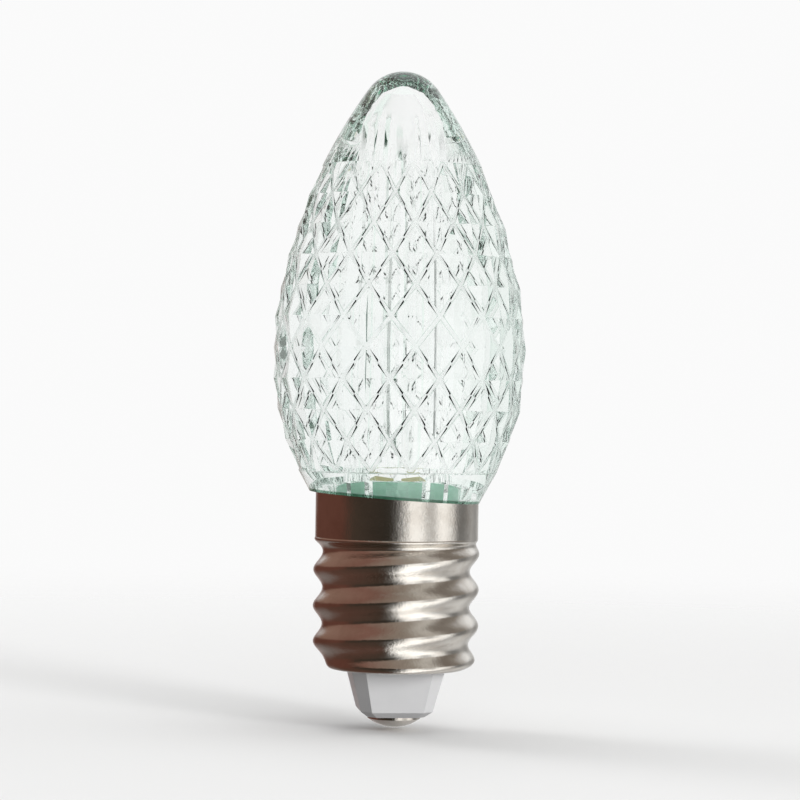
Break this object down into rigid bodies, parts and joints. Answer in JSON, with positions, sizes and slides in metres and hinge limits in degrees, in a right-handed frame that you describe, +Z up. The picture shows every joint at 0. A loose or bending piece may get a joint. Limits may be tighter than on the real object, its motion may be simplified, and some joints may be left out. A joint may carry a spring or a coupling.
{
  "type": "christmas light bulb",
  "caption": "Small clear faceted pear-shaped LED bulb with a fluted bore, on a nickel-plated screw cap with a white insulator and a domed centre contact.",
  "frame": {"origin": "lowest point of the centre contact, on the axis of the screw cap", "axes": "+Z up the axis from the contact to the tip of the lens, -Y towards the side seen in the picture"},
  "size_m": [0.0178, 0.0178, 0.0462],
  "materials": {
    "lens": "clear moulded plastic with a faint mint tint, polished outside",
    "nickel": "bright nickel plate on brass sheet, slightly grainy and scuffed",
    "contact_metal": "bright nickel plate",
    "plug_plastic": "white moulded plastic, semi-gloss",
    "board": "green solder mask on glass laminate",
    "led_plastic": "white ceramic-filled plastic",
    "phosphor": "yellow phosphor in clear resin",
    "rectifier_plastic": "black moulding compound",
    "tinned_leg": "tinned copper",
    "resistor_body": "dark glazed chip with tinned ends",
    "capacitor_body": "brown ceramic chip with tinned ends",
    "copper": "bare copper",
    "dark_sleeve": "soft plastic insulation",
    "red_sleeve": "soft plastic insulation",
    "solder": "tin solder"
  },
  "bodies": {
    "root": {"lens": "lens", "screw_shell": "nickel", "centre_contact": "contact_metal", "insulator_plug": "plug_plastic", "circuit_board": "board", "led_base_1": "led_plastic", "led_base_2": "led_plastic", "led_base_3": "led_plastic", "led_fill_1": "phosphor", "led_fill_2": "phosphor", "led_fill_3": "phosphor", "rectifier": "rectifier_plastic", "rectifier_leg_1": "tinned_leg", "rectifier_leg_2": "tinned_leg", "rectifier_leg_3": "tinned_leg", "rectifier_leg_4": "tinned_leg", "resistor_1": "resistor_body", "resistor_2": "resistor_body", "resistor_3": "resistor_body", "capacitor": "capacitor_body", "side_wire": "copper", "centre_wire": "copper", "side_sleeve": "dark_sleeve", "centre_sleeve": "red_sleeve", "cap_solder": "solder", "contact_solder": "solder", "side_pad_solder": "solder", "centre_pad_solder": "solder"}
  },
  "joints": []
}
